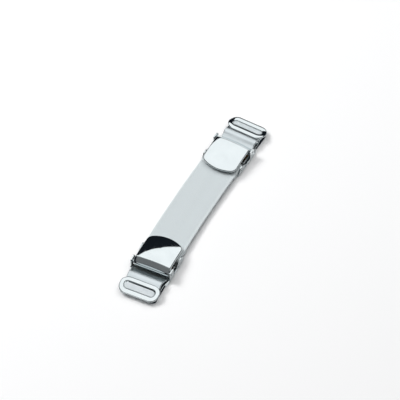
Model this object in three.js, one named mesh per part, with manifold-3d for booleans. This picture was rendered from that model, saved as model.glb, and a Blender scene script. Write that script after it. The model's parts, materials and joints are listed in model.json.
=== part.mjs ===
import * as THREE from 'three';
import { mergeVertices } from 'three/addons/utils/BufferGeometryUtils.js';
import Module from 'manifold-3d';

const wasm = await Module();
wasm.setup();

// A sleeve holder: a short elastic strap with a lever clip at each end. Millimetres, +Z up.
// The strap runs along Y. Each clip is drawn in a frame of its own, with the origin on the
// surface under the cover's hinge edge, +Y towards the jaw's tip and X across.

const strap = {
  width: 20, thickness: 1, restHeight: 2.1, sag: 0.35, sections: 24,
  foldedBack: 15.8, sewnFrom: 12.9, slackRoundBar: 0.3, lift: 0.15,
};
const clipSpacing = 83.9; // between the two hinge edges
const yaw = { near: 2.6, far: -2.3 }; // degrees that each clip lies off the strap's line
const sheet = 0.6; // the stamped steel's thickness
const clearance = 0.15; // round a pin
const lap = 0.5; // how far one region of a stamping runs into the next
const past = 12; // beyond either side of a clip, for cuts right across it

const bar = { y: -9.2, z: 2.7, radius: 0.7 };
const jawPivot = { y: -5.6, z: 1.6, radius: 0.45, end: 10.55 };
const leverPivot = { y: 1.8, z: 4.6, radius: 0.5, end: 10.4 };

const base = {
  rear: -12.4, rearHalf: 10.65, waist: { from: 4.5, to: 7.5 }, half: 10.2, trayFrom: 11.7,
  front: 18.5, cornerRadius: 2, rimHeight: 1.6, flangeHeight: 1.4, neckFlangeHeight: 1,
};
const opening = { half: 10.05, from: -11.6, to: -6.7 }; // in the plate, under the strap's fold
const ear = { rear: -0.9, front: 3.4, top: 6.4, frontRadius: 1.5, rearRadius: 0.9, foot: 1.1 };
const tab = { top: 4.7, slopeTo: -3.8, rearTop: 1.6, roundFrom: 50, roundTo: 150 };

const jaw = {
  tailHalf: 9.4, tailTop: 1.95, neckHalf: 8.9, waist: { from: 4, to: 5.2 }, lineSteps: 44,
};
const nose = {
  rear: 10.7, front: 19.9, half: 10.45, endRadius: 4.3, rearHeight: 4.4, frontHeight: 3.1,
  slope: { from: 12.6, to: 18.1 }, thickness: 0.95, bead: 0.42,
  slotHalf: 8.3, slotRear: 13.2, slotFront: 17.3, slotEndRadius: 2,
};
const cover = {
  tip: -17.2, hinge: 0.1, half: 9.38, tipHeight: 5.35, hingeHeight: 7.4, tipArc: 17, cornerRadius: 3.6,
  lip: 1.08,
};
// How far the cover's top bulges across and along, and how far its sides lie below its line.
const crown = { across: 0.9, along: 0.47, drop: 0.43, columns: 10, rows: 6 };
const cam = { closedRadius: 2, openRadius: 1.1, opening: 110, half: 9.3, step: 10 };
const roll = {
  wall: { y: 2.56, z: 5.6 }, edge: { y: 0.45, z: 6.95 }, top: { y: 0.1, z: 7.3 },
  rear: { y: -1.6, top: 6.85, under: 6.25 }, throat: { y: -0.4, z: 5.2 }, crownedFrom: 5.1,
};
const spring = { half: 9.1, thickness: 0.25, steps: 14 };
const pad = {
  rear: 12.6, front: 17.9, half: 9.3, top: 1.6, cornerRadius: 1.2,
  ribPitch: 1.5, ribDepth: 0.25, grooveWidth: 0.52, ribAngle: -35,
};

const finishes = {
  chrome: { color: 0xd9e0e4, metalness: 1, roughness: 0.12 },
  bronze: { color: 0x9a7350, metalness: 1, roughness: 0.35 },
  plastic: { color: 0xc9ced1, metalness: 0, roughness: 0.5 },
  elastic: { color: 0xdde2e5, metalness: 0, roughness: 0.9 },
};

const radians = THREE.MathUtils.degToRad;
const point = (x, y) => new THREE.Vector2(x, y);

// A closed geometry as a solid that can be cut and joined.
function solid(geometry) {
  const bare = geometry.index ? geometry.toNonIndexed() : geometry.clone();
  bare.deleteAttribute('normal');
  bare.deleteAttribute('uv');
  const merged = mergeVertices(bare, 1e-4);
  return new wasm.Manifold(new wasm.Mesh({
    numProp: 3,
    vertProperties: Float32Array.from(merged.attributes.position.array),
    triVerts: Uint32Array.from(merged.index.array),
  }));
}

function geometryOf(body) {
  const { vertProperties, triVerts } = body.getMesh();
  const geometry = new THREE.BufferGeometry();
  geometry.setAttribute('position', new THREE.BufferAttribute(Float32Array.from(vertProperties), 3));
  geometry.setIndex(new THREE.BufferAttribute(Uint32Array.from(triVerts), 1));
  return geometry;
}

function joined(bodies) {
  return bodies.reduce((whole, body) => whole.add(body));
}

// A side profile, drawn as (Y, Z), swept from one X to another.
function swept(shape, from, to, steps = 1) {
  const geometry = new THREE.ExtrudeGeometry(shape, { depth: to - from, steps, bevelEnabled: false });
  const turn = new THREE.Matrix4().makeBasis(
    new THREE.Vector3(0, 1, 0), new THREE.Vector3(0, 0, 1), new THREE.Vector3(1, 0, 0));
  geometry.applyMatrix4(turn);
  return geometry.translate(from, 0, 0);
}

function across(shape, from, to) {
  return solid(swept(shape, from, to));
}

// The same profile on the left and on the right.
function bothSides(shape, inner, outer) {
  return across(shape, inner, outer).add(across(shape, -outer, -inner));
}

// A plan outline, drawn as (X, Y), made a solid from one height to another.
function upward(shape, from, to) {
  const geometry = new THREE.ExtrudeGeometry(shape, { depth: to - from, bevelEnabled: false });
  geometry.translate(0, 0, from);
  return solid(geometry);
}

function rod(y, z, radius, from, to) {
  const geometry = new THREE.CylinderGeometry(radius, radius, to - from, 16);
  geometry.rotateZ(Math.PI / 2);
  geometry.translate((from + to) / 2, y, z);
  return solid(geometry);
}

// A hole right across the clip for a pin.
function pinHole(pin) {
  return rod(pin.y, pin.z, pin.radius + clearance, -past, past);
}

const leftOf = (points) => points.map((p) => point(-p.x, p.y)).reverse();

// An outline that is the same on the left and right, from its right half, rear to front.
function mirroredOutline(rightHalf) {
  return new THREE.Shape([...rightHalf, ...leftOf(rightHalf)]);
}

// A point on a circle, the angle in degrees.
function onCircle(x, y, radius, angle) {
  return point(x + radius * Math.cos(radians(angle)), y + radius * Math.sin(radians(angle)));
}

function arc(x, y, radius, from, to, steps = 6) {
  return Array.from({ length: steps + 1 }, (_, i) => onCircle(x, y, radius, from + (to - from) * i / steps));
}

// A bent sheet's profile: its top line, and the same line one thickness below.
function sheetProfile(top, thickness) {
  const below = top.map((p, i) => {
    const along = top[Math.min(i + 1, top.length - 1)].clone().sub(top[Math.max(i - 1, 0)]).normalize();
    return point(p.x + along.y * thickness, p.y - along.x * thickness);
  });
  return new THREE.Shape([...below, ...top.slice().reverse()]);
}

function smooth(rows, steps) {
  return new THREE.SplineCurve(rows.map((row) => point(row.y, row.z))).getPoints(steps);
}

// The clip's base: a stamped tray with the lower jaw, the hinge ears and the strap tabs.
function roundedFront(half, front, radius) {
  return arc(half - radius, front - radius, radius, 0, 90, 5);
}

function baseOutline() {
  return mirroredOutline([
    point(base.rearHalf, base.rear),
    point(base.rearHalf, base.waist.from),
    point(base.half, base.waist.to),
    ...roundedFront(base.half, base.front, base.cornerRadius),
  ]);
}

function jawTray() {
  const outer = mirroredOutline([
    point(base.half, base.trayFrom),
    ...roundedFront(base.half, base.front, base.cornerRadius),
  ]);
  const inner = mirroredOutline([
    point(base.half - sheet, base.trayFrom - lap),
    ...roundedFront(base.half - sheet, base.front - sheet, base.cornerRadius - sheet),
  ]);
  return upward(outer, 0, base.rimHeight).subtract(upward(inner, sheet, base.rimHeight + lap));
}

function earProfile() {
  return new THREE.Shape([
    point(ear.rear - ear.foot, 0),
    point(ear.front + ear.foot, 0),
    point(ear.front + ear.foot, base.flangeHeight),
    point(ear.front, base.flangeHeight + ear.foot),
    ...arc(ear.front - ear.frontRadius, ear.top - ear.frontRadius, ear.frontRadius, 0, 90, 5),
    ...arc(ear.rear + ear.rearRadius, ear.top - ear.rearRadius, ear.rearRadius, 90, 180, 4),
    point(ear.rear, base.flangeHeight + ear.foot),
    point(ear.rear - ear.foot, base.flangeHeight),
  ]);
}

function tabProfile() {
  return new THREE.Shape([
    point(base.rear, 0),
    point(base.waist.from, 0),
    point(base.waist.from, base.flangeHeight),
    point(tab.slopeTo, base.flangeHeight),
    ...arc(bar.y, bar.z, tab.top - bar.z, tab.roundFrom, tab.roundTo),
    point(base.rear, tab.rearTop),
  ]);
}

// The low side flanges that draw in from the ears to the tray.
function neckFlanges() {
  const outer = [
    point(base.rearHalf, base.waist.from - lap),
    point(base.rearHalf, base.waist.from),
    point(base.half, base.waist.to),
    point(base.half, base.trayFrom + lap),
  ];
  const inner = outer.map((p) => point(p.x - sheet, p.y)).reverse();
  const right = [...outer, ...inner];
  return upward(new THREE.Shape(right), 0, base.neckFlangeHeight)
    .add(upward(new THREE.Shape(leftOf(right)), 0, base.neckFlangeHeight));
}

function clipBase() {
  const underFold = mirroredOutline([point(opening.half, opening.from), point(opening.half, opening.to)]);
  const body = joined([
    upward(baseOutline(), 0, sheet),
    jawTray(),
    neckFlanges(),
    bothSides(earProfile(), base.rearHalf - sheet, base.rearHalf),
    bothSides(tabProfile(), base.rearHalf - sheet, base.rearHalf),
  ]);
  const holes = joined([
    upward(underFold, -lap, sheet + lap / 2),
    pinHole(leverPivot),
    pinHole(bar),
    pinHole(jawPivot),
  ]);
  return body.subtract(holes);
}

// The upper jaw's top line from the tail's end to the step behind the nose.
const jawLine = [
  { y: -5.2, z: jaw.tailTop }, { y: -3, z: jaw.tailTop }, { y: 0, z: jaw.tailTop },
  { y: 2.1, z: jaw.tailTop }, { y: 3.2, z: 2.1 }, { y: 4.3, z: 2.5 }, { y: 5.4, z: 3.15 },
  { y: 6, z: 3.8 }, { y: 6.6, z: 4.5 }, { y: 7.3, z: 4.88 }, { y: 8.2, z: 5 }, { y: 9.5, z: 4.95 },
  { y: 10.3, z: 4.65 }, { y: 11, z: 4.15 }, { y: 12.2, z: 3.85 },
];

function jawPlan() {
  return mirroredOutline([
    point(jaw.tailHalf, jawPivot.y - lap),
    point(jaw.tailHalf, jaw.waist.from),
    point(jaw.neckHalf, jaw.waist.to),
    point(jaw.neckHalf, nose.rear + 2 * lap),
  ]);
}

// The nose's ring and its slot have the same kind of outline, with round ends.
function roundEnded(half, rear, front, endRadius, path) {
  const right = half - endRadius;
  path.moveTo(-right, rear);
  path.lineTo(right, rear);
  path.absarc(right, rear + endRadius, endRadius, -Math.PI / 2, 0, false);
  path.lineTo(half, front - endRadius);
  path.absarc(right, front - endRadius, endRadius, 0, Math.PI / 2, false);
  path.lineTo(-right, front);
  path.absarc(-right, front - endRadius, endRadius, Math.PI / 2, Math.PI, false);
  path.lineTo(-half, rear + endRadius);
  path.absarc(-right, rear + endRadius, endRadius, Math.PI, Math.PI * 1.5, false);
  return path;
}

// The nose steps down from its rear band to its front one.
function noseHeight(y) {
  const share = THREE.MathUtils.smoothstep(y, nose.slope.from, nose.slope.to);
  return THREE.MathUtils.lerp(nose.rearHeight, nose.frontHeight, share);
}

function noseRing() {
  const b = nose.bead;
  const ring = roundEnded(nose.half - b, nose.rear + b, nose.front - b, nose.endRadius - b,
    new THREE.Shape());
  ring.holes.push(roundEnded(nose.slotHalf + b, nose.slotRear - b, nose.slotFront + b,
    nose.slotEndRadius + b, new THREE.Path()));
  const geometry = new THREE.ExtrudeGeometry(ring, {
    depth: nose.thickness - 2 * b, bevelSize: b, bevelThickness: b, bevelSegments: 2, curveSegments: 6,
  });
  const at = geometry.attributes.position;
  for (let i = 0; i < at.count; i += 1) {
    at.setZ(i, at.getZ(i) + b - nose.thickness + noseHeight(at.getY(i)));
  }
  return solid(geometry);
}

function upperJaw() {
  const line = smooth(jawLine, jaw.lineSteps);
  const plate = across(sheetProfile(line, sheet), -jaw.tailHalf, jaw.tailHalf)
    .intersect(upward(jawPlan(), 0, cover.hingeHeight));
  const trunnions = rod(jawPivot.y, jawPivot.z, jawPivot.radius, -jawPivot.end, jawPivot.end);
  return joined([plate, noseRing(), trunnions]);
}

function crownAcross(x) {
  return crown.across * (1 - (x / cover.half) ** 2) - crown.drop;
}

// The cover's top rises from its tip to its hinge edge, and is crowned both ways.
function coverTop(x, y) {
  const slope = (cover.hingeHeight - cover.tipHeight) / -cover.tip;
  const crownAlong = crown.along * (1 - ((2 * y) / cover.tip - 1) ** 2);
  return cover.hingeHeight + slope * y + crownAlong + crownAcross(x);
}

// All that lies under the cover's top, or a given drop below it.
function underCover(drop) {
  const width = 2 * (cover.half + lap);
  const length = roll.wall.y - cover.tip + 2 * lap;
  const geometry = new THREE.BoxGeometry(width, length, 1, crown.columns, crown.rows, 1);
  geometry.translate(0, cover.tip - lap + length / 2, 0);
  const at = geometry.attributes.position;
  for (let i = 0; i < at.count; i += 1) {
    at.setZ(i, at.getZ(i) > 0 ? coverTop(at.getX(i), at.getY(i)) - drop : 0);
  }
  return solid(geometry);
}

function coverOutline(inset, hingeEnd) {
  const half = cover.half - inset;
  const r = cover.cornerRadius - inset;
  const tip = cover.tip + inset;
  const tipArc = cover.tipArc - inset;
  // the corner's circle touches the straight side and the wide arc of the tip
  const cornerX = half - r;
  const cornerY = tip + tipArc - Math.sqrt((tipArc - r) ** 2 - cornerX ** 2);
  const meet = THREE.MathUtils.radToDeg(Math.atan2(cornerY - (tip + tipArc), cornerX));
  const rightHalf = [
    ...arc(0, tip + tipArc, tipArc, -90, meet),
    ...arc(cornerX, cornerY, r, meet, 0),
    point(half, hingeEnd),
  ];
  return mirroredOutline(rightHalf.slice(1));
}

// The cam's radius falls evenly from under the pin to the front, as much as the jaw lifts.
function camRadius(angle) {
  const share = THREE.MathUtils.clamp((angle + 90) / cam.opening, 0, 1);
  return cam.closedRadius + (cam.openRadius - cam.closedRadius) * share;
}

// The roll under the hinge edge: the cam round the pin, and the neck up to the plate.
function rollProfile() {
  const front = [];
  for (let angle = -90; angle <= cam.opening - 90; angle += cam.step) {
    front.push(onCircle(leverPivot.y, leverPivot.z, camRadius(angle), angle));
  }
  return new THREE.Shape([
    ...front,
    point(roll.wall.y, roll.wall.z),
    point(roll.edge.y, roll.edge.z),
    point(roll.top.y, roll.top.z),
    point(roll.rear.y, roll.rear.top),
    point(roll.rear.y, roll.rear.under),
    point(roll.throat.y, roll.throat.z),
    ...arc(leverPivot.y, leverPivot.z, cam.closedRadius - clearance, 180, 250, 5),
  ]);
}

// Its neck follows the crown of the plate above.
function crownedRoll() {
  const geometry = swept(rollProfile(), -cam.half, cam.half, crown.columns);
  const at = geometry.attributes.position;
  for (let i = 0; i < at.count; i += 1) {
    if (at.getZ(i) > roll.crownedFrom) {
      at.setZ(i, at.getZ(i) + crownAcross(at.getX(i)));
    }
  }
  return solid(geometry);
}

function leverCover() {
  const top = cover.hingeHeight + crown.across + crown.along;
  const outside = upward(coverOutline(0, cover.hinge), 0, top);
  const inside = upward(coverOutline(sheet, cover.hinge - sheet), 0, top);
  const hollow = inside.intersect(underCover(sheet));
  const lid = outside.intersect(underCover(0)).subtract(hollow).subtract(underCover(cover.lip));
  return lid.add(crownedRoll()).subtract(pinHole(leverPivot));
}

// The bronze leaf lies on the jaw's tail, arched, with its front end under the lever's pin.
const leafLine = [
  { y: -4.2, z: 2.42 }, { y: -3.2, z: 2.85 }, { y: -1.7, z: 3.05 },
  { y: -0.6, z: 2.8 }, { y: 0.1, z: 2.5 }, { y: 0.6, z: 2.42 },
];

function leafSpring() {
  return across(sheetProfile(smooth(leafLine, spring.steps), spring.thickness), -spring.half, spring.half);
}

function gripPad() {
  const outline = mirroredOutline([
    point(pad.half, pad.rear),
    ...roundedFront(pad.half, pad.front, pad.cornerRadius),
  ]);
  let body = upward(outline, sheet + clearance, pad.top);
  for (let x = -2 * pad.half; x <= 2 * pad.half; x += pad.ribPitch) {
    const groove = new THREE.BoxGeometry(pad.grooveWidth, 2 * pad.front, 2 * pad.ribDepth);
    groove.rotateZ(radians(pad.ribAngle));
    groove.translate(x, (pad.rear + pad.front) / 2, pad.top);
    body = body.subtract(solid(groove));
  }
  return body;
}

function strapBar() {
  return rod(bar.y, bar.z, bar.radius, -base.rearHalf, base.rearHalf);
}

function hingePin() {
  return rod(leverPivot.y, leverPivot.z, leverPivot.radius, -leverPivot.end, leverPivot.end);
}

// The strap's end in a clip: over the bar, round it and back under itself, sewn flat.
function strapLoop() {
  const inner = bar.radius + strap.slackRoundBar;
  const outer = inner + strap.thickness;
  const under = strap.restHeight - strap.thickness - strap.lift;
  const top = strap.restHeight + strap.thickness;
  const end = -strap.foldedBack - 2 * lap;
  const shape = new THREE.Shape([
    point(-strap.foldedBack, strap.restHeight),
    point(-strap.foldedBack, under + strap.lift),
    point(base.rear, under),
    ...arc(bar.y, bar.z, outer, -105, 100, 16),
    point(-strap.sewnFrom - lap, top + strap.lift),
    point(end, top),
    point(end, strap.restHeight),
  ]);
  shape.holes.push(new THREE.Path([
    point(-strap.sewnFrom, under + strap.thickness + strap.lift / 2),
    ...arc(bar.y, bar.z, inner, 100, -105, 12),
    point(base.rear + lap, under + strap.thickness),
  ]));
  return across(shape, -strap.width / 2, strap.width / 2);
}

// A clip's place in the whole: the two clips face away from each other.
function clipPlace(side) {
  const outward = side === 'far' ? 1 : -1;
  const turn = radians(yaw[side]) + (side === 'far' ? 0 : Math.PI);
  return new THREE.Matrix4().makeRotationZ(turn).setPosition(0, outward * clipSpacing / 2, 0);
}

function placed(body, side) {
  const geometry = geometryOf(body);
  geometry.applyMatrix4(clipPlace(side));
  return solid(geometry);
}

// The free stretch leaves each clip along that clip's own line, and sags a little.
function strapSpan() {
  const from = -strap.foldedBack - lap;
  const reach = (clipSpacing + 2 * from) / 3;
  const inPlan = (side, y) => {
    const at = new THREE.Vector3(0, y, 0).applyMatrix4(clipPlace(side));
    return point(at.x, at.y);
  };
  const line = new THREE.CubicBezierCurve(
    inPlan('near', from), inPlan('near', from - reach), inPlan('far', from - reach), inPlan('far', from));
  const half = strap.width / 2;
  const positions = [];
  for (let i = 0; i <= strap.sections; i += 1) {
    const t = i / strap.sections;
    const at = line.getPoint(t);
    const along = line.getTangent(t);
    const z = strap.restHeight - strap.sag * Math.sin(Math.PI * t) ** 2;
    for (const [side, up] of [[-half, 0], [half, 0], [half, strap.thickness], [-half, strap.thickness]]) {
      positions.push(at.x + along.y * side, at.y - along.x * side, z + up);
    }
  }
  const index = [0, 1, 2, 0, 2, 3];
  for (let i = 0; i < strap.sections; i += 1) {
    for (let k = 0; k < 4; k += 1) {
      const a = i * 4 + k;
      const b = i * 4 + (k + 1) % 4;
      index.push(a, a + 4, b, b, a + 4, b + 4);
    }
  }
  const last = strap.sections * 4;
  index.push(last, last + 2, last + 1, last, last + 3, last + 2);
  const geometry = new THREE.BufferGeometry();
  geometry.setAttribute('position', new THREE.Float32BufferAttribute(positions, 3));
  geometry.setIndex(index);
  return solid(geometry);
}

const holder = new THREE.Group();

function addPiece(parent, name, body, finish) {
  const mesh = new THREE.Mesh(geometryOf(body), new THREE.MeshStandardMaterial(finishes[finish]));
  mesh.name = name;
  parent.add(mesh);
}

addPiece(holder, 'elastic_strap',
  joined([strapSpan(), placed(strapLoop(), 'near'), placed(strapLoop(), 'far')]), 'elastic');

for (const side of ['near', 'far']) {
  const clip = new THREE.Group();
  clip.applyMatrix4(clipPlace(side));
  addPiece(clip, `clip_base_${side}`, clipBase(), 'chrome');
  addPiece(clip, `grip_pad_${side}`, gripPad(), 'plastic');
  addPiece(clip, `upper_jaw_${side}`, upperJaw(), 'chrome');
  addPiece(clip, `leaf_spring_${side}`, leafSpring(), 'bronze');
  addPiece(clip, `lever_cover_${side}`, leverCover(), 'chrome');
  addPiece(clip, `hinge_pin_${side}`, hingePin(), 'chrome');
  addPiece(clip, `strap_bar_${side}`, strapBar(), 'chrome');
  holder.add(clip);
}

// The origin is under the middle of the whole.
holder.updateMatrixWorld(true);
const middle = new THREE.Box3().setFromObject(holder).getCenter(new THREE.Vector3());
holder.position.set(-middle.x, -middle.y, 0);

export default holder;
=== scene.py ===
import json
import math

import bmesh
import bpy
from mathutils import Matrix, Vector
from mathutils.geometry import tessellate_polygon


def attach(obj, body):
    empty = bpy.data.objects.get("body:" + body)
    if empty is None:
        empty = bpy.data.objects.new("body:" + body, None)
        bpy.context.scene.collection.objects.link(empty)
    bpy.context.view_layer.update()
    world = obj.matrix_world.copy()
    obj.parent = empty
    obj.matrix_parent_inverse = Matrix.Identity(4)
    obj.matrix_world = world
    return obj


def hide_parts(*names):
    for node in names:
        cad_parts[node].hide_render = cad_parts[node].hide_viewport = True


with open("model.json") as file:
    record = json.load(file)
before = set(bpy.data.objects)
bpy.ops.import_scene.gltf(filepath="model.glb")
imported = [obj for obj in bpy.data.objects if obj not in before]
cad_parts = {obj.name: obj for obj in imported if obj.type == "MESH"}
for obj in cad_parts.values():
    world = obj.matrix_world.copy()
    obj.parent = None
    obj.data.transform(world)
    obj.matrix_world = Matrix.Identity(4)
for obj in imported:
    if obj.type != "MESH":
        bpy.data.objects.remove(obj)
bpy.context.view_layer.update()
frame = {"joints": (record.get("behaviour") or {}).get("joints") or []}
print("frame loaded")

scene = bpy.context.scene
mm = 0.001

# Each clip is modelled in millimetres in its own frame: the origin on the surface under the
# cover's hinge edge, Y towards the jaw's tip, X across. The cover's joint says where that is.
leverPin = {"y": 1.8, "z": 4.6, "radius": 0.5, "hole": 0.65, "end": 10.45, "dimple": 0.15}
clipPlace = {}
for joint in frame["joints"]:
    if joint["child"].startswith("cover_"):
        across = -Vector(joint["axis"])
        along = Vector((-across.y, across.x, 0))
        origin = Vector(joint["pos_m"]) - along * leverPin["y"] * mm
        origin.z = 0
        turn = Matrix((across, along, Vector((0, 0, 1)))).transposed().to_4x4()
        clipPlace[joint["child"].removeprefix("cover_")] = (
            Matrix.Translation(origin) @ turn @ Matrix.Diagonal((mm, mm, mm, 1)))
sides = sorted(clipPlace)


# Camera and light

photo = {"azimuth": 27.6, "elevation": 51.25, "distance": 1.3276, "lens": 241.9, "sensor": 36,
         "aim": Vector((-0.000288, 0.00724, 0)), "clip": (0.05, 20)}
azimuth = math.radians(photo["azimuth"])
elevation = math.radians(photo["elevation"])
back = Vector((math.sin(azimuth) * math.cos(elevation), -math.cos(azimuth) * math.cos(elevation),
               math.sin(elevation)))
right = Vector((math.cos(azimuth), math.sin(azimuth), 0))
away = Vector((-math.sin(azimuth), math.cos(azimuth), 0))
up = Vector((0, 0, 1))


def makeCamera():
    data = bpy.data.cameras.new("photoCamera")
    data.lens = photo["lens"]
    data.sensor_width = photo["sensor"]
    data.clip_start, data.clip_end = photo["clip"]
    camera = bpy.data.objects.new("photoCamera", data)
    camera.location = photo["aim"] + back * photo["distance"]
    camera.rotation_mode = "QUATERNION"
    camera.rotation_quaternion = (-back).to_track_quat("-Z", "Y")
    scene.collection.objects.link(camera)
    scene.camera = camera


studio = {
    "height": 1.0, "turn": 12,
    "far": 1.15, "near": 0.45, "left": 0.95, "right": 1.1,  # the overhead box's edges, from the object
    "overhead": 1.45, "room": (0.011, 0.014, 0.019), "backdrop": (0.93, 0.94, 0.95),
    "keyPower": 8.0, "keySize": 0.5, "keyFrom": (-0.75, 0.35, 1.0),
    "fill": 0.21, "fillFrom": (0, -0.78, 0.86), "fillWidth": 2.6, "fillDepth": 0.62,
}


def areaLamp(name, centre, aim, across, width, depth, power, seenInMetal):
    data = bpy.data.lights.new(name, "AREA")
    data.shape = "RECTANGLE"
    data.size, data.size_y = width, depth
    data.energy = power
    lamp = bpy.data.objects.new(name, data)
    forward = (aim - centre).normalized()
    side = across - forward * across.dot(forward)
    side.normalize()
    lamp.matrix_world = Matrix.Translation(centre) @ Matrix(
        (side, forward.cross(side) * -1, -forward)).transposed().to_4x4()
    lamp.visible_camera = False
    lamp.visible_glossy = seenInMetal
    scene.collection.objects.link(lamp)


# A place told by how far it is to the camera's right, away from it, and up.
def inRoom(x, y, z):
    return right * x + away * y + up * z


def makeStudio():
    s = studio
    width, depth = s["left"] + s["right"], s["far"] + s["near"]
    turned = Matrix.Rotation(math.radians(s["turn"]), 3, "Z")
    middle = inRoom((s["right"] - s["left"]) / 2, (s["far"] - s["near"]) / 2, 0)
    centre = turned @ middle + up * s["height"]
    power = s["overhead"] * math.pi * width * depth
    areaLamp("overheadBox", centre, centre - up, turned @ right, width, depth, power, True)
    onTable, size = Vector((0, 0, 0)), s["keySize"]
    areaLamp("keyLight", inRoom(*s["keyFrom"]), onTable, right, size, size, s["keyPower"], False)
    width, depth = s["fillWidth"], s["fillDepth"]
    power = s["fill"] * math.pi * width * depth
    areaLamp("dimFill", inRoom(*s["fillFrom"]), onTable, right, width, depth, power, True)


# The dark room that the metal mirrors, and the white backdrop that the camera sees.
def makeRoom():
    world = bpy.data.worlds.new("studioRoom")
    world.use_nodes = True
    nodes, links = world.node_tree.nodes, world.node_tree.links
    nodes.clear()
    out = nodes.new("ShaderNodeOutputWorld")
    mix = nodes.new("ShaderNodeMixShader")
    room = nodes.new("ShaderNodeBackground")
    room.inputs["Color"].default_value = (*studio["room"], 1)
    backdrop = nodes.new("ShaderNodeBackground")
    backdrop.inputs["Color"].default_value = (*studio["backdrop"], 1)
    ray = nodes.new("ShaderNodeLightPath")
    links.new(ray.outputs["Is Camera Ray"], mix.inputs["Fac"])
    links.new(room.outputs["Background"], mix.inputs[1])
    links.new(backdrop.outputs["Background"], mix.inputs[2])
    links.new(mix.outputs["Shader"], out.inputs["Surface"])
    scene.world = world
    scene.view_settings.view_transform = "Standard"


table = {"size": 3.0, "white": 0.94, "roughness": 0.7, "specular": 0.2}


def makeFloor():
    mesh = bpy.data.meshes.new("floor")
    half = table["size"] / 2
    mesh.from_pydata([(-half, -half, 0), (half, -half, 0), (half, half, 0), (-half, half, 0)], [],
                     [(0, 1, 2, 3)])
    floor = bpy.data.objects.new("floor", mesh)
    scene.collection.objects.link(floor)
    material = bpy.data.materials.new("whiteTable")
    material.use_nodes = True
    shader = material.node_tree.nodes["Principled BSDF"]
    shader.inputs["Base Color"].default_value = (*[table["white"]] * 3, 1)
    shader.inputs["Roughness"].default_value = table["roughness"]
    shader.inputs["Specular IOR Level"].default_value = table["specular"]
    mesh.materials.append(material)


makeCamera()
makeStudio()
makeRoom()
makeFloor()
print("camera, light and floor made")


# Finishes

def newMaterial(name):
    material = bpy.data.materials.new(name)
    material.use_nodes = True
    tree = material.node_tree
    return material, tree.nodes, tree.links, tree.nodes["Principled BSDF"]


# Where a point is on the object, the same in every pose and view.
def objectPlace(nodes):
    return nodes.new("ShaderNodeTexCoord").outputs["Object"]


def noise(nodes, links, coordinates, scale, detail, distortion=0.0):
    node = nodes.new("ShaderNodeTexNoise")
    node.inputs["Scale"].default_value = scale
    node.inputs["Detail"].default_value = detail
    node.inputs["Distortion"].default_value = distortion
    links.new(coordinates, node.inputs["Vector"])
    return node.outputs["Fac"]


def spread(nodes, links, value, low, high, fromLow=0.3, fromHigh=0.7):
    node = nodes.new("ShaderNodeMapRange")
    node.inputs["From Min"].default_value = fromLow
    node.inputs["From Max"].default_value = fromHigh
    node.inputs["To Min"].default_value = low
    node.inputs["To Max"].default_value = high
    links.new(value, node.inputs["Value"])
    return node.outputs["Result"]


def bump(nodes, links, height, strength, distance, below=None):
    node = nodes.new("ShaderNodeBump")
    node.inputs["Strength"].default_value = strength
    node.inputs["Distance"].default_value = distance
    links.new(height, node.inputs["Height"])
    if below is not None:
        links.new(below, node.inputs["Normal"])
    return node.outputs["Normal"]


def ramp(nodes, links, value, stops):
    node = nodes.new("ShaderNodeValToRGB")
    for i, (at, colour) in enumerate(stops):
        stop = node.color_ramp.elements[i] if i < 2 else node.color_ramp.elements.new(at)
        stop.position = at
        stop.color = (*colour, 1)
    links.new(value, node.inputs["Fac"])
    return node.outputs["Color"]


# In the finishes, a noise is (scale, detail, distortion) and a bump is (strength, height in metres).
chrome = {
    "haze": (130, 4), "colours": [(0.35, (0.555, 0.60, 0.612)), (0.65, (0.585, 0.63, 0.642))],
    "grain": (900, 3, 0.6), "grainFrom": 0.45, "grainTo": 0.8, "grainBump": (0.05, 0.00002),
    "rippleHeight": 0.0002,
}


# Bright plate over stamped steel: faint haze, fine wiping marks and a slight ripple of the pressing.
def chromeMaterial(name, ripple, smooth, worn):
    c = chrome
    material, nodes, links, shader = newMaterial(name)
    place = objectPlace(nodes)
    haze = noise(nodes, links, place, *c["haze"])
    grain = noise(nodes, links, place, *c["grain"])
    links.new(ramp(nodes, links, haze, c["colours"]), shader.inputs["Base Color"])
    roughness = spread(nodes, links, grain, smooth, worn, c["grainFrom"], c["grainTo"])
    links.new(roughness, shader.inputs["Roughness"])
    shader.inputs["Metallic"].default_value = 1
    wave = bump(nodes, links, haze, ripple, c["rippleHeight"])
    links.new(bump(nodes, links, grain, *c["grainBump"], wave), shader.inputs["Normal"])
    return material


brushed = {
    "colours": [(0.3, (0.50, 0.547, 0.565)), (0.7, (0.535, 0.585, 0.605))],
    "angle": 52, "stretch": (60, 1500, 60), "lines": (1.0, 3), "lineBump": (0.12, 0.00002),
    "smooth": 0.29, "rough": 0.4,
}


# Satin plate, wiped one way: fine slanting lines that blur what it mirrors.
def brushedMaterial():
    b = brushed
    material, nodes, links, shader = newMaterial("brushedChrome")
    place = objectPlace(nodes)
    turned = nodes.new("ShaderNodeMapping")
    turned.inputs["Rotation"].default_value = (0, 0, math.radians(b["angle"]))
    turned.inputs["Scale"].default_value = b["stretch"]
    links.new(place, turned.inputs["Vector"])
    lines = noise(nodes, links, turned.outputs["Vector"], *b["lines"])
    haze = noise(nodes, links, place, *chrome["haze"])
    links.new(ramp(nodes, links, haze, b["colours"]), shader.inputs["Base Color"])
    links.new(spread(nodes, links, lines, b["smooth"], b["rough"]), shader.inputs["Roughness"])
    shader.inputs["Metallic"].default_value = 1
    links.new(bump(nodes, links, lines, *b["lineBump"]), shader.inputs["Normal"])
    return material


bronze = {
    "cloud": (420, 5, 0.4), "smooth": 0.22, "rough": 0.5, "pits": (0.15, 0.00005),
    "colours": [(0.3, (0.13, 0.085, 0.035)), (0.55, (0.34, 0.22, 0.10)), (0.75, (0.46, 0.33, 0.17))],
    "shader": {"Metallic": 1},
}

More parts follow.
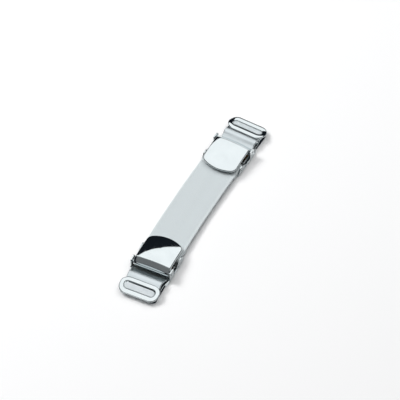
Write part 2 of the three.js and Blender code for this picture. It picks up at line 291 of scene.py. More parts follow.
palePlastic = {
    "cloud": (260, 4), "smooth": 0.3, "rough": 0.48, "pits": (0.1, 0.00004),
    "colours": [(0.3, (0.60, 0.66, 0.68)), (0.7, (0.72, 0.77, 0.79))],
    "shader": {"Subsurface Weight": 0.25, "Subsurface Radius": (0.001, 0.001, 0.001),
               "Subsurface Scale": 0.5},
}

sewing = {
    "cloud": (2600, 2), "pits": (0.4, 0.00003), "shader": {"Roughness": 0.6},
    "colours": [(0.3, (0.58, 0.61, 0.62)), (0.7, (0.75, 0.78, 0.79))],
}


# A finish whose colour and pits follow one noise, and its gloss too where it varies.
def cloudedMaterial(name, look):
    material, nodes, links, shader = newMaterial(name)
    cloud = noise(nodes, links, objectPlace(nodes), *look["cloud"])
    links.new(ramp(nodes, links, cloud, look["colours"]), shader.inputs["Base Color"])
    for socket, value in look["shader"].items():
        shader.inputs[socket].default_value = value
    if "smooth" in look:
        links.new(spread(nodes, links, cloud, look["smooth"], look["rough"]), shader.inputs["Roughness"])
    links.new(bump(nodes, links, cloud, *look["pits"]), shader.inputs["Normal"])
    return material


# The strap's colours run from a painted shade, given to the knit's grooves, to the lighter colour of its
# ribs, with a random cloud of tone mixed in.
elastic = {
    "colours": [(0.2, (0.567, 0.618, 0.633)), (0.8, (0.615, 0.668, 0.682))], "cloud": (60, 3),
    "cloudShare": 0.3, "wales": 30, "courses": 2.3, "waleShape": 0.5, "selvage": (0.64, 0.69, 0.70),
    "selvageWidth": 0.075, "selvageShare": 0.7, "fuzz": (1500, 4), "smooth": 0.75, "rough": 0.95,
    "knitBump": (0.5, 0.00012), "fuzzBump": (0.25, 0.00004),
    "shader": {"Sheen Weight": 0.15, "Sheen Roughness": 0.4, "Specular IOR Level": 0.25},
}


# The strap's own map has U across it from 0 to 1 and V along it in millimetres.
def elasticMaterial():
    e = elastic
    material, nodes, links, shader = newMaterial("knitElastic")
    uv = nodes.new("ShaderNodeUVMap")
    uv.uv_map = "webbing"
    split = nodes.new("ShaderNodeSeparateXYZ")
    links.new(uv.outputs["UV"], split.inputs["Vector"])

    def maths(operation, a, b=None):
        node = nodes.new("ShaderNodeMath")
        node.operation = operation
        for i, value in enumerate((a, b)):
            if value is None:
                continue
            if isinstance(value, (int, float)):
                node.inputs[i].default_value = value
            else:
                links.new(value, node.inputs[i])
        return node.outputs[0]

    def wave(value, times):
        return maths("ABSOLUTE", maths("SINE", maths("MULTIPLY", value, math.pi * times)))

    u, v = split.outputs["X"], split.outputs["Y"]
    fromMiddle = maths("ABSOLUTE", maths("SUBTRACT", u, 0.5))
    inSelvage = maths("GREATER_THAN", fromMiddle, 0.5 - e["selvageWidth"])
    wales = maths("POWER", wave(u, e["wales"]), e["waleShape"])
    courses = maths("ADD", maths("MULTIPLY", wave(v, e["courses"]), 0.5), 0.5)
    knit = maths("MULTIPLY", wales, courses)

    place = objectPlace(nodes)
    fuzz = noise(nodes, links, place, *e["fuzz"])
    cloud = noise(nodes, links, place, *e["cloud"])
    # Painted shade: the knit's grooves between the wales and the courses are coloured darker, as if shaded,
    # and the cloud adds a random tone.
    paintedGrooveShade = maths("MULTIPLY", knit, 1 - e["cloudShare"])
    ofCloud = maths("MULTIPLY", cloud, e["cloudShare"])
    body = ramp(nodes, links, maths("ADD", paintedGrooveShade, ofCloud), e["colours"])
    mix = nodes.new("ShaderNodeMix")
    mix.data_type = "RGBA"
    links.new(maths("MULTIPLY", inSelvage, e["selvageShare"]), mix.inputs["Factor"])
    links.new(body, mix.inputs[6])
    mix.inputs[7].default_value = (*e["selvage"], 1)
    links.new(mix.outputs[2], shader.inputs["Base Color"])
    links.new(spread(nodes, links, fuzz, e["smooth"], e["rough"]), shader.inputs["Roughness"])
    for socket, value in e["shader"].items():
        shader.inputs[socket].default_value = value
    low = bump(nodes, links, knit, *e["knitBump"])
    links.new(bump(nodes, links, fuzz, *e["fuzzBump"], low), shader.inputs["Normal"])
    return material


finish = {
    "polished": chromeMaterial("polishedChrome", 0.006, 0.04, 0.09),
    "pressed": chromeMaterial("pressedChrome", 0.03, 0.06, 0.14),
    "brushed": brushedMaterial(),
    "bronze": cloudedMaterial("springBronze", bronze),
    "pad": cloudedMaterial("palePlastic", palePlastic),
    "elastic": elasticMaterial(),
    "thread": cloudedMaterial("sewingThread", sewing),
}
print("finishes made")


# Shapes

bevelMiddle = 0.3  # how far a small rounded edge stands off its corner, as a share of its radius
bendAngles = (22, 45, 68, 90)


# How far a value has come from start to end, from 0 to 1.
def shareOf(value, start, end):
    return min(max((value - start) / (end - start), 0), 1)


def eased(value, start, end):
    t = shareOf(value, start, end)
    return t * t * (3 - 2 * t)


def arc(x, y, radius, fromAngle, toAngle, steps):
    angles = [math.radians(fromAngle + (toAngle - fromAngle) * i / steps) for i in range(steps + 1)]
    return [(x + radius * math.cos(a), y + radius * math.sin(a)) for a in angles]


def straight(start, end, steps):
    return [tuple(a + (b - a) * i / steps for a, b in zip(start, end)) for i in range(steps + 1)]


# A smooth line through a few points, evenly sampled between each pair.
def smoothLine(points, steps):
    line = []
    ends = [points[0], *points, points[-1]]
    for i in range(1, len(ends) - 2):
        p0, p1, p2, p3 = (Vector(p) for p in ends[i - 1:i + 3])
        for k in range(steps):
            t = k / steps
            line.append(0.5 * ((2 * p1) + (p2 - p0) * t + (2 * p0 - 5 * p1 + 4 * p2 - p3) * t * t
                               + (3 * p1 - p0 - 3 * p2 + p3) * t ** 3))
    line.append(Vector(points[-1]))
    return line


def normalsOf(line):
    found = []
    for i in range(len(line)):
        step = Vector(line[min(i + 1, len(line) - 1)]) - Vector(line[max(i - 1, 0)])
        step.normalize()
        found.append(Vector((-step.y, step.x)))
    return found


# Faces between loops of equal length. Closed loops meet themselves, and a ring's last loop its first.
def loft(loops, closed=True, caps=True, ring=False):
    count = len(loops[0])
    points = [p for loop in loops for p in loop]
    faces = []
    rows = len(loops)
    for i in range(rows if ring else rows - 1):
        for k in range(count if closed else count - 1):
            a, b = i * count + k, i * count + (k + 1) % count
            c, d = ((i + 1) % rows) * count + (k + 1) % count, ((i + 1) % rows) * count + k
            faces.append((a, b, c, d))
    if caps and closed and not ring:
        faces.append(tuple(reversed(range(count))))
        faces.append(tuple(range((rows - 1) * count, rows * count)))
    return points, faces


# Every face turned outward, and where weld says so, points that coincide joined first.
def facesOut(mesh, weld=False):
    shape = bmesh.new()
    shape.from_mesh(mesh)
    if weld:
        bmesh.ops.remove_doubles(shape, verts=shape.verts, dist=1e-4)
        bmesh.ops.dissolve_degenerate(shape, edges=shape.edges, dist=1e-5)
    bmesh.ops.recalc_face_normals(shape, faces=shape.faces)
    shape.to_mesh(mesh)
    shape.free()


def blank(name, points, faces, finishes=(), use=0):
    mesh = bpy.data.meshes.new(name)
    mesh.from_pydata([tuple(p) for p in points], [], faces)
    for each in finishes:
        mesh.materials.append(finish[each])
    for polygon in mesh.polygons:
        polygon.material_index = use
    facesOut(mesh, weld=True)
    made = bpy.data.objects.new(name, mesh)
    scene.collection.objects.link(made)
    return made


def openEdges(made):
    shape = bmesh.new()
    shape.from_mesh(made.data)
    count = sum(1 for e in shape.edges if not e.is_manifold)
    shape.free()
    return count


def applied(made):
    depsgraph = bpy.context.evaluated_depsgraph_get()
    mesh = bpy.data.meshes.new_from_object(made.evaluated_get(depsgraph))
    made.modifiers.clear()
    old = made.data
    made.data = mesh
    bpy.data.meshes.remove(old)
    return made


def combine(body, other, operation):
    cut = body.modifiers.new(operation, "BOOLEAN")
    cut.operation = operation
    cut.solver = "EXACT"
    cut.object = other
    applied(body)
    bpy.data.objects.remove(other)
    return body


rodShape = {"sides": 32, "chamfer": 0.12, "chamferShare": 0.2, "dimpleRim": 0.7, "dimpleFloor": 0.25,
            "drillEnd": 12}


# A round bar along X, with its ends chamfered, and dimpled where it is a rivet.
def rod(name, y, z, radius, end, dimple=0.0):
    chamfer = min(rodShape["chamfer"], radius * rodShape["chamferShare"])
    sections = [(-end, radius - chamfer), (-end + chamfer, radius),
                (end - chamfer, radius), (end, radius - chamfer)]
    if dimple:
        rim, floor = radius * rodShape["dimpleRim"], radius * rodShape["dimpleFloor"]
        sections = [(-end + dimple, floor), (-end, rim), *sections, (end, rim), (end - dimple, floor)]
    loops = []
    for x, r in sections:
        loops.append([(x, y + b, z + c) for b, c in arc(0, 0, r, 0, 360, rodShape["sides"])[:-1]])
    return blank(name, *loft(loops))


def drilled(made, pin):
    drill = rod("drill", pin["y"], pin["z"], pin["hole"], rodShape["drillEnd"])
    return combine(made, drill, "DIFFERENCE")


# Smooth shading that keeps flat faces flat.
def shadeSmooth(made, sharpAngle=38):
    made.data.shade_smooth()
    made.data.set_sharp_from_angle(angle=math.radians(sharpAngle))
    weigh = made.modifiers.new("weighted", "WEIGHTED_NORMAL")
    weigh.keep_sharp = True
    return applied(made)


# One copy of a blank on each clip, riding on its body in place of the CAD node.
def placeOnClips(made, name, body, node, material=None):
    if material:
        made.data.materials.clear()
        made.data.materials.append(finish[material])
    for side in sides:
        mesh = made.data.copy()
        mesh.transform(clipPlace[side])
        piece = bpy.data.objects.new(f"{name}_{side}", mesh)
        mesh.name = piece.name
        scene.collection.objects.link(piece)
        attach(piece, body if body == "root" else f"{body}_{side}")
        if node:
            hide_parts(f"{node}_{side}")
    bpy.data.objects.remove(made)
    print(f"{name} made")


# Lever cover: a crowned D with its edge turned down, and the cam roll under the hinge edge

cover = {
    "tip": -17.2, "hinge": 0.45, "half": 9.38, "tipArc": 17, "corner": 3.6, "hingeCorner": 0.7,
    "tipHeight": 5.35, "hingeHeight": 7.4, "crownAcross": 0.82, "crownEdge": 0.08, "crownAlong": 0.47,
    "crownDrop": 0.43, "edge": 0.55, "lip": 1.08, "sheet": 0.6, "underEdge": 0.5, "rim": 0.08,
    "steps": {"hinge": 14, "hingeCorner": 6, "side": 16, "corner": 12, "tip": 14},
    "topInsets": (3.0, 2.3, 1.8, 1.4, 1.1, 0.85), "underInsets": (1.2, 2.2, 3.0),
    "innerShares": (0.02, 0.2, 0.4, 0.6, 0.8),
}


def crownAcross(x):
    share = x / cover["half"]
    middle, edge = cover["crownAcross"] * (1 - share ** 2), cover["crownEdge"] * (1 - share ** 6)
    return middle + edge - cover["crownDrop"]


def coverTop(x, y):
    c = cover
    middle = c["tip"] / 2
    slope = (c["hingeHeight"] - c["tipHeight"]) / -c["tip"]
    return (c["hingeHeight"] + slope * y + crownAcross(x)
            + c["crownAlong"] * (1 - ((y - middle) / middle) ** 2))


def coverOutline(inset):
    c = cover
    half, tip, front = c["half"] - inset, c["tip"] + inset, c["hinge"] - inset
    r = c["corner"] - inset
    wide = c["tipArc"] - inset
    cornerX = half - r
    cornerY = tip + wide - math.sqrt((wide - r) ** 2 - cornerX ** 2)
    meet = math.degrees(math.atan2(cornerY - (tip + wide), cornerX))
    small = max(c["hingeCorner"] - inset, 0)
    steps = c["steps"]
    rightSide = (
        straight((0, front), (half - small, front), steps["hinge"])[:-1]
        + arc(half - small, front - small, small, 90, 0, steps["hingeCorner"])
        + straight((half, front - small), (half, cornerY), steps["side"])[1:-1]
        + arc(cornerX, cornerY, r, 0, meet, steps["corner"])
        + arc(0, tip + wide, wide, meet, -90, steps["tip"])[1:]
    )
    return rightSide + [(-x, y) for x, y in reversed(rightSide[1:-1])]


# Loops from the middle of the top, over the turned-down edge, to the middle of the underside.
def lidLoops():
    c = cover
    r, under, lip, sheet = c["edge"], c["underEdge"], c["lip"], c["sheet"]
    rim, middle = c["rim"], bevelMiddle * c["rim"]
    rows = [(inset, 0) for inset in (*c["topInsets"], r)]
    rows += [(r * (1 - math.sin(a)), r * (1 - math.cos(a))) for a in map(math.radians, range(10, 91, 10))]
    rows += [(under * (1 - math.cos(a)), lip - under * (1 - math.sin(a)))
             for a in map(math.radians, range(0, 91, 15))]
    rows += [(sheet - middle, lip - middle), (sheet, lip - rim), (sheet, sheet + rim),
             (sheet + middle, sheet + middle), (sheet + rim, sheet)]
    rows += [(inset, sheet) for inset in c["underInsets"]]
    loops = []
    for inset, drop in rows:
        loops.append([(x, y, coverTop(x, y) - drop) for x, y in coverOutline(inset)])

    def shrunk(loop, drop, share):
        centre = c["tip"] / 2
        plan = [(x * share, centre + (y - centre) * share) for x, y, z in loop]
        return [(x, y, coverTop(x, y) - drop) for x, y in plan]

    return ([shrunk(loops[0], 0, share) for share in c["innerShares"]] + loops
            + [shrunk(loops[-1], sheet, share) for share in reversed(c["innerShares"])])


camRoll = {
    "half": 9.3, "closed": 2.0, "open": 1.1, "opening": 110, "step": 5, "endRound": 0.12, "stations": 24,
    "wallTop": (2.56, 5.6), "neckTop": 7.3, "rear": [(-0.2, 6.95), (-1.5, 6.72), (-1.5, 6.3)],
    "throat": [(-1.5, 6.3), (-0.9, 5.85), (-0.35, 5.2)], "backRelief": 0.15,
    "crownFrom": 5.0, "crownTo": 5.45,
}


# The cam's radius falls evenly from under the pin to the front, as much as the jaw lifts.
def rollSection(inset):
    c = camRoll
    pinY, pinZ = leverPin["y"], leverPin["z"]
    front = []
    for angle in range(-90, c["opening"] - 89, c["step"]):
        radius = c["closed"] + (c["open"] - c["closed"]) * (angle + 90) / c["opening"] - inset
        front += arc(pinY, pinZ, radius, angle, angle, 1)[:1]
    wallY, wallZ = c["wallTop"]
    neck = straight(front[-1], (wallY - inset, wallZ - inset), 3)[1:]
    neck += straight(neck[-1], (cover["hinge"], c["neckTop"] - inset), 6)[1:]
    throat = smoothLine(c["throat"], 3)[1:]
    under = arc(pinY, pinZ, c["closed"] - c["backRelief"] - inset, 180, 255, 10)
    return [tuple(p) for p in front + neck + c["rear"] + throat + under]


def makeCover():
    lid = blank("lid", *loft(lidLoops()))
    half, r = camRoll["half"], camRoll["endRound"]
    middle = bevelMiddle * r
    stations = [(-half, r), (-half + middle, middle)]
    stations += [(x, 0) for x, y in straight((r - half, 0), (half - r, 0), camRoll["stations"])]
    stations += [(half - middle, middle), (half, r)]
    loops = []
    for x, inset in stations:
        loop = []
        for y, z in rollSection(inset):
            share = shareOf(z, camRoll["crownFrom"], camRoll["crownTo"])
            loop.append((x, y, z + share * crownAcross(x)))
        loops.append(loop)
    roll = blank("roll", *loft(loops))
    made = drilled(combine(lid, roll, "UNION"), leverPin)
    print("cover's open edges:", openEdges(made))
    placeOnClips(shadeSmooth(made), "crowned_cover", "cover", "lever_cover", "polished")


# Base: one sheet with its sides turned up into tabs, ears, low flanges and the jaw's tray

base = {
    "rear": -12.4, "rearHalf": 10.65, "waistFrom": 4.5, "waistTo": 7.5, "half": 9.8, "trayFrom": 11.7,
    "front": 18.6, "corner": 2.0, "rim": 1.2, "flange": 1.4, "neckFlange": 1.0, "sheet": 0.6,
    "rearBend": 0.5, "frontBend": 0.25, "innerBend": 0.12, "edge": 0.12, "frontLean": 0.8,
    "plateInset": 0.15, "frontColumns": (6, 4, 2), "openHalf": 9.7, "openFrom": -11.6, "openTo": -6.7,
}
ear = {"rear": -0.9, "front": 3.4, "top": 6.4, "frontRadius": 1.5, "rearRadius": 0.9, "foot": 1.1,
       "taper": 0.02}
tab = {"top": 4.7, "slopeTo": -3.8, "rearTop": 1.6, "rise": (1.2, 1.45), "roundFrom": 155, "roundTo": 50}
foldBar = {"y": -9.2, "z": 2.7, "radius": 0.7, "hole": 0.85}
jawPin = {"y": -5.6, "z": 1.6, "radius": 0.45, "hole": 0.6, "end": 10.5}


# The right side's top edge as (Y, Z), from the rear to where the tray's corner starts.
def sideTopLine():
    b = base
    riseY, riseZ = tab["rise"]
    line = straight((b["rear"], tab["rearTop"]), (b["rear"] + riseY, tab["rearTop"] + riseZ), 4)[:-1]
    line += arc(foldBar["y"], foldBar["z"], tab["top"] - foldBar["z"], tab["roundFrom"], tab["roundTo"], 14)
    line += straight(line[-1], (tab["slopeTo"], b["flange"]), 8)[1:]
    foot, rear, front = ear["foot"], ear["rear"] + ear["taper"], ear["front"] - ear["taper"]
    rearRadius, frontRadius = ear["rearRadius"], ear["frontRadius"]
    line += straight((tab["slopeTo"], b["flange"]), (ear["rear"] - foot, b["flange"]), 4)[1:-1]
    line += arc(ear["rear"] - foot, b["flange"] + foot, foot, -90, 0, 6)
    line += straight(line[-1], (rear, ear["top"] - rearRadius), 3)[1:-1]
    line += arc(rear + rearRadius, ear["top"] - rearRadius, rearRadius, 180, 90, 8)
    line += arc(front - frontRadius, ear["top"] - frontRadius, frontRadius, 90, 0, 10)
    line += straight(line[-1], (ear["front"], b["flange"] + foot), 3)[1:-1]
    line += arc(ear["front"] + foot, b["flange"] + foot, foot, 180, 270, 6)
    line += straight(line[-1], (b["waistTo"], b["neckFlange"]), 6)[1:]
    line += straight(line[-1], (b["trayFrom"] - 1, b["neckFlange"]), 5)[1:]
    line += straight(line[-1], (b["trayFrom"], b["rim"]), 3)[1:]
    line += straight((b["trayFrom"], b["rim"]), (b["front"] - b["corner"], b["rim"]), 5)[1:-1]
    return line


def sideHalf(y):
    narrowing = eased(y, base["waistFrom"], base["waistTo"])
    return base["rearHalf"] + (base["half"] - base["rearHalf"]) * narrowing


# Every column of the turned-up wall: the plan point, its outward way, and the top edge there.
def wallColumns():
    b = base
    line = sideTopLine()
    tops = [(y, z, n.x, n.y) for (y, z), n in zip(line, normalsOf(line))]
    rightSide = [(sideHalf(y), y, 1, 0, z, ny, nz) for y, z, ny, nz in tops]
    corner = []
    for x, y in arc(b["half"] - b["corner"], b["front"] - b["corner"], b["corner"], 0, 90, 10):
        way = Vector((x - b["half"] + b["corner"], y - b["front"] + b["corner"])).normalized()
        corner.append((x, y, way.x, way.y, b["rim"], 0, 1))
    front = [(x, b["front"], 0, 1, b["rim"], 0, 1) for x in b["frontColumns"]]
    half = rightSide + corner + front
    mirrored = [(-x, y, -wx, wy, z, ny, nz) for x, y, wx, wy, z, ny, nz in reversed(half)]
    return half + [(0, b["front"], 0, 1, b["rim"], 0, 1)] + mirrored


# The sides stand upright beside the strap, and lean in along the tray in front.
def wallSection(column):
    x, y, wayX, wayY, top, edgeY, edgeZ = column
    b = base
    r, t = b["edge"], b["sheet"]
    share = shareOf(y, ear["front"], b["waistTo"])
    bend = b["rearBend"] + (b["frontBend"] - b["rearBend"]) * share
    lean = b["frontLean"] * share
    inner = b["innerBend"]
    plate = t + inner + b["plateInset"]
    middle = bevelMiddle * r

    def at(depth, z, along=0.0):
        inward = depth + lean * z
        return (x - wayX * inward, y - wayY * inward + along, z)

    rows = [at(plate, 0)]
    rows += [at(bend * (1 - math.cos(a)), bend * (1 - math.sin(a)))
             for a in map(math.radians, range(90, -1, -10))]
    for depth, drop in ((0, r), (middle, middle), (r, 0)):
        rows.append(at(depth, top - drop * edgeZ, -drop * edgeY))
    for depth, drop in ((r, 0), (middle, middle), (0, r)):
        rows.append(at(t - depth, top - drop * edgeZ, -drop * edgeY))
    rows += [at(t + inner * (1 - math.cos(a)), t + inner * (1 - math.sin(a)))
             for a in map(math.radians, (0, *bendAngles))]
    rows.append(at(plate, t))
    return rows


def makeBase():
    columns = [wallSection(c) for c in wallColumns()]
    points, faces = loft(columns, closed=False, caps=False)
    rows = len(columns[0])
    last = (len(columns) - 1) * rows
    faces.append(tuple(reversed(range(rows))))
    faces.append(tuple(range(last, last + rows)))
    # the plate between the walls, with the opening under the strap's fold
    b = base
    hole = [(-b["openHalf"], b["openFrom"]), (b["openHalf"], b["openFrom"]),
            (b["openHalf"], b["openTo"]), (-b["openHalf"], b["openTo"])]
    for row, z in ((0, 0), (rows - 1, b["sheet"])):
        rim = [points[i * rows + row] for i in range(len(columns))]
        loops = [[Vector(p) for p in rim], [Vector((*p, z)) for p in hole]]
        start = len(points)
        points += [tuple(p) for loop in loops for p in loop]
        faces += [tuple(start + i for i in triangle) for triangle in tessellate_polygon(loops)]
    start = len(points)
    points += [(*p, z) for z in (0, b["sheet"]) for p in hole]
    faces += [(start + i, start + (i + 1) % 4, start + 4 + (i + 1) % 4, start + 4 + i) for i in range(4)]
    faces.append((0, last, last + rows - 1, rows - 1))
    made = blank("base", points, faces)
    for pin in (leverPin, foldBar, jawPin):
        made = drilled(made, pin)
    print("base's open edges:", openEdges(made))
    placeOnClips(shadeSmooth(made), "pressed_base", "root", "clip_base", "pressed")


# Upper jaw: the tail plate, the ridge with its turned-down sides, and the slotted nose

jaw = {
    "tailHalf": 9.4, "neckHalf": 8.9, "waistFrom": 4.0, "waistTo": 5.2, "turnedEdge": 0.3,
    "sheet": 0.6, "bend": 0.4, "besideBend": 3, "rim": 0.1, "finishes": ("polished", "brushed"),
    "line": [(-5.2, 1.95), (-3, 1.95), (0, 1.95), (2.1, 1.95), (3.2, 2.15), (4.3, 2.72), (5.4, 3.32),
             (5.95, 3.66), (6.4, 3.99), (6.85, 4.32), (7.3, 4.6), (7.8, 4.78), (8.4, 4.86), (9.1, 4.84),
             (9.7, 4.7), (10.3, 4.46), (10.9, 4.17), (11.4, 3.98), (12.2, 3.88)],
}


# Across the plate at one place along it, with its edges turned down by deep.
def jawSection(top, under, half, deep):
    t, bend = jaw["sheet"], jaw["bend"]
    rim = min(jaw["rim"], deep / 2)
    middle = bevelMiddle * rim
    bottom, flat = under.y - deep, half - bend - jaw["besideBend"]

    def between(share):
        p = top + (under - top) * share
        return p.x, p.y

    rightSide = [(flat, *between(0)), (half - bend, *between(0))]
    for a in map(math.radians, bendAngles):
        rightSide.append((half - bend + bend * math.sin(a), *between(bend / t * (1 - math.cos(a)))))
    lip = [(half, under.y), (half, bottom + rim), (half - middle, bottom + middle), (half - rim, bottom),
           (half - t + rim, bottom), (half - t + middle, bottom + middle), (half - t, bottom + rim),
           (half - t, under.y - rim), (half - t - rim, under.y), (flat, under.y)]
    rightSide += [(x, under.x, z) for x, z in lip]
    return rightSide + [(-x, y, z) for x, y, z in reversed(rightSide)]


def jawPlate():
    line = smoothLine(jaw["line"], 6)
    loops = []
    for top, way in zip(line, normalsOf(line)):
        under = top - way * jaw["sheet"]
        narrowing = eased(top.x, jaw["waistFrom"], jaw["waistTo"])
        half = jaw["tailHalf"] + (jaw["neckHalf"] - jaw["tailHalf"]) * narrowing
        deep = jaw["turnedEdge"] * shareOf(top.x, jaw["waistFrom"], jaw["waistTo"])
        loops.append(jawSection(top, under, half, deep))
    return blank("jawPlate", *loft(loops), jaw["finishes"], 1)


nose = {
    "rear": 10.7, "front": 19.9, "half": 10.45, "endRadius": 4.3, "rearHeight": 4.4, "frontHeight": 3.1,
    "slopeFrom": 12.6, "slopeTo": 18.1, "slotHalf": 8.3, "slotRear": 13.2, "slotFront": 17.3,
    "slotEndRadius": 2.0, "cornerSteps": 10, "dome": 0.17, "domeBase": -0.0874, "domeFrom": 0.15,
    "domeAcross": 0.8, "domeSteps": 12, "crest": 0.5,
    # the ring's edges: how far across it to the slot, as a share, and the height over the nose
    "outerEdge": [(0.1, -0.95), (0.03, -0.85), (0, -0.65), (0, -0.42), (0.015, -0.28), (0.05, -0.16),
                  (0.1, -0.09)],
    "slotEdge": [(0.98, -0.11), (1, -0.21), (1, -0.665), (0.94, -0.95)],
}


def roundEnded(half, rear, front, radius, steps):
    inner = half - radius
    return (arc(inner, rear + radius, radius, -90, 0, steps)
            + arc(inner, front - radius, radius, 0, 90, steps)
            + arc(-inner, front - radius, radius, 90, 180, steps)
            + arc(-inner, rear + radius, radius, 180, 270, steps))


# The nose steps down from its rear band to its front one.
def noseHeight(y):
    fall = nose["rearHeight"] - nose["frontHeight"]
    return nose["rearHeight"] - fall * eased(y, nose["slopeFrom"], nose["slopeTo"])


# The nose's ring is domed like a bead all round the slot.
def noseRing():
    n = nose
    steps = n["cornerSteps"]
    outer = roundEnded(n["half"], n["rear"], n["front"], n["endRadius"], steps)
    inner = roundEnded(n["slotHalf"], n["slotRear"], n["slotFront"], n["slotEndRadius"], steps)
    dome = []
    for i in range(n["domeSteps"] + 1):
        share = n["domeFrom"] + n["domeAcross"] * i / n["domeSteps"]
        reach = n["crest"] if share < n["crest"] else 1 - n["crest"]
        lift = n["dome"] * (1 - ((share - n["crest"]) / reach) ** 2)
        dome.append((share, lift + n["domeBase"]))
    loops = []
    for (ox, oy), (ix, iy) in zip(outer, inner):
        loop = []
        for share, lift in n["outerEdge"] + dome + n["slotEdge"]:
            x, y = ox + (ix - ox) * share, oy + (iy - oy) * share
            loop.append((x, y, noseHeight(y) + lift))
        loops.append(loop)
    return blank("noseRing", *loft(loops, ring=True), jaw["finishes"], 0)


def makeJaw():
    made = combine(jawPlate(), noseRing(), "UNION")
    trunnions = rod("trunnions", jawPin["y"], jawPin["z"], jawPin["radius"], jawPin["end"])
    made = combine(made, trunnions, "UNION")
    print("jaw's open edges:", openEdges(made))
    placeOnClips(shadeSmooth(made), "slotted_jaw", "jaw", "upper_jaw")


# Bronze leaf, arched on the jaw's tail

leaf = {"half": 9.1, "thickness": 0.25, "edge": 0.06, "edgeShare": 0.5,
        "line": [(-4.2, 2.42), (-3.2, 2.85), (-1.7, 3.05), (-0.6, 2.8), (0.1, 2.5), (0.6, 2.42)]}


def makeLeaf():
    top = smoothLine(leaf["line"], 8)
    ways = normalsOf(top)
    under = [p - way * leaf["thickness"] for p, way in zip(top, ways)]
    middle = [p - way * leaf["thickness"] / 2 for p, way in zip(top, ways)]
    half, edge, thin = leaf["half"], leaf["edge"], leaf["edgeShare"]

    def section(x, share):
        upper = [m + (p - m) * share for m, p in zip(middle, top)]
        lower = [m + (p - m) * share for m, p in zip(middle, under)]
        return [(x, p.x, p.y) for p in upper + lower[::-1]]

    loops = [section(-half, thin), section(-half + edge, 1), section(half - edge, 1), section(half, thin)]
    made = blank("leaf", *loft(loops))
    placeOnClips(shadeSmooth(made), "bronze_leaf", "jaw", "leaf_spring", "bronze")


# Pad in the lower jaw, with slanting ribs

pad = {
    "rear": 12.6, "front": 17.0, "half": 8.05, "bottom": 0.75, "top": 1.6, "corner": 1.2, "edge": 0.12,
    "pitch": 1.5, "depth": 0.06, "angle": -35, "grooveSteepness": 1.6, "grooveShape": 1.5,
    "islandHalf": 7.92, "islandRear": 13.8, "islandFront": 16.92, "islandEnd": 1.5, "islandBelow": 0.4,
    "islandSide": 0.15, "columns": 190, "rows": 44,
}


# How far a point is inside the raised part that stands in the nose's slot.
def insideIsland(x, y):
    p = pad
    middle, radius = (p["islandRear"] + p["islandFront"]) / 2, p["islandEnd"]
    overX = max(abs(x) - (p["islandHalf"] - radius), 0)
    overY = max(abs(y - middle) - ((p["islandFront"] - p["islandRear"]) / 2 - radius), 0)
    return radius - math.hypot(overX, overY)


def padHeight(x, y):
    p = pad
    angle = math.radians(p["angle"])
    across = (x * math.cos(angle) + y * math.sin(angle)) / p["pitch"]
    fromGroove = min(abs(math.sin(math.pi * across)) * p["grooveSteepness"], 1)
    groove = p["depth"] * (1 - fromGroove) ** p["grooveShape"]
    island = noseHeight(y) - p["islandBelow"]
    share = min(max(insideIsland(x, y) / p["islandSide"] + 0.5, 0), 1)
    return p["top"] + (island - p["top"]) * share - groove


def makePad():
    p = pad
    loops = []
    for i in range(p["columns"] + 1):
        x = -p["half"] + 2 * p["half"] * i / p["columns"]
        over = max(abs(x) - (p["half"] - p["corner"]), 0)
        front = p["front"] - p["corner"] + math.sqrt(max(p["corner"] ** 2 - over ** 2, 0))
        loop = [(x, p["rear"], p["bottom"])]
        for k in range(p["rows"] + 1):
            y = p["rear"] + (front - p["rear"]) * k / p["rows"]
            drop = p["edge"] if k in (0, p["rows"]) or i in (0, p["columns"]) else 0
            loop.append((x, y, padHeight(x, y) - drop))
        loop.append((x, front, p["bottom"]))
        loops.append(loop)
    made = blank("pad", *loft(loops))
    placeOnClips(shadeSmooth(made, sharpAngle=60), "ribbed_pad", "root", "grip_pad", "pad")


# The cover's riveted pin, and the bar that the strap is folded round.
def makePins():
    pin = rod("pin", leverPin["y"], leverPin["z"], leverPin["radius"], leverPin["end"], leverPin["dimple"])
    placeOnClips(shadeSmooth(pin), "rivet_pin", "root", "hinge_pin", "pressed")
    bar = rod("bar", foldBar["y"], foldBar["z"], foldBar["radius"], base["rearHalf"])
    placeOnClips(shadeSmooth(bar), "fold_bar", "root", "strap_bar", "pressed")


makeCover()
makeBase()
makeJaw()
makeLeaf()
makePad()
makePins()


# Strap: one band of knitted elastic, folded round a bar at each end and sewn to itself

strap = {
    "width": 20, "thickness": 1.0, "rest": 2.1, "sag": 0.35, "foldedBack": 15.8, "leaveAt": 16.3,
    "underGap": 0.15, "roundBar": 1.5, "foldFrom": -108, "foldTo": 100, "foldSteps": 36, "spanSteps": 120,
    # between the fold and each layer's flat part: Y, and the height over or under that part
    "underLayer": [(-14.2, -0.02), (-12.4, -0.13)], "upperLayer": [(-13.4, 0.15), (-14.8, 0.02)],
    "offBar": (-11.2, 3.72), "ribs": 24, "ribPoints": 4, "ribDepth": 0.07, "ribShape": 0.6,
    # the plain edge outside the ribs: how far in from the side, and the share of the full height
    "plainEdge": 1.3, "rim": [(1.18, 1), (0.35, 1), (0.12, 0.8), (0, 0.35)],
}


# The band's middle line at one clip, from the fold's sewn end to where the free stretch starts.
def loopLine():
    s = strap
    half = s["thickness"] / 2
    under = s["rest"] - s["underGap"] - half
    over = s["rest"] + half
    underLayer = [(y, under + lift) for y, lift in s["underLayer"]]
    upperLayer = [(y, over + lift) for y, lift in s["upperLayer"]]
    fold = arc(foldBar["y"], foldBar["z"], s["roundBar"], s["foldFrom"], s["foldTo"], s["foldSteps"])
    line = smoothLine([(-s["foldedBack"], under), *underLayer], 6)
    line += [Vector(p) for p in fold]
    line += smoothLine([fold[-1], s["offBar"], *upperLayer, (-s["leaveAt"], over)], 6)[1:]
    return line


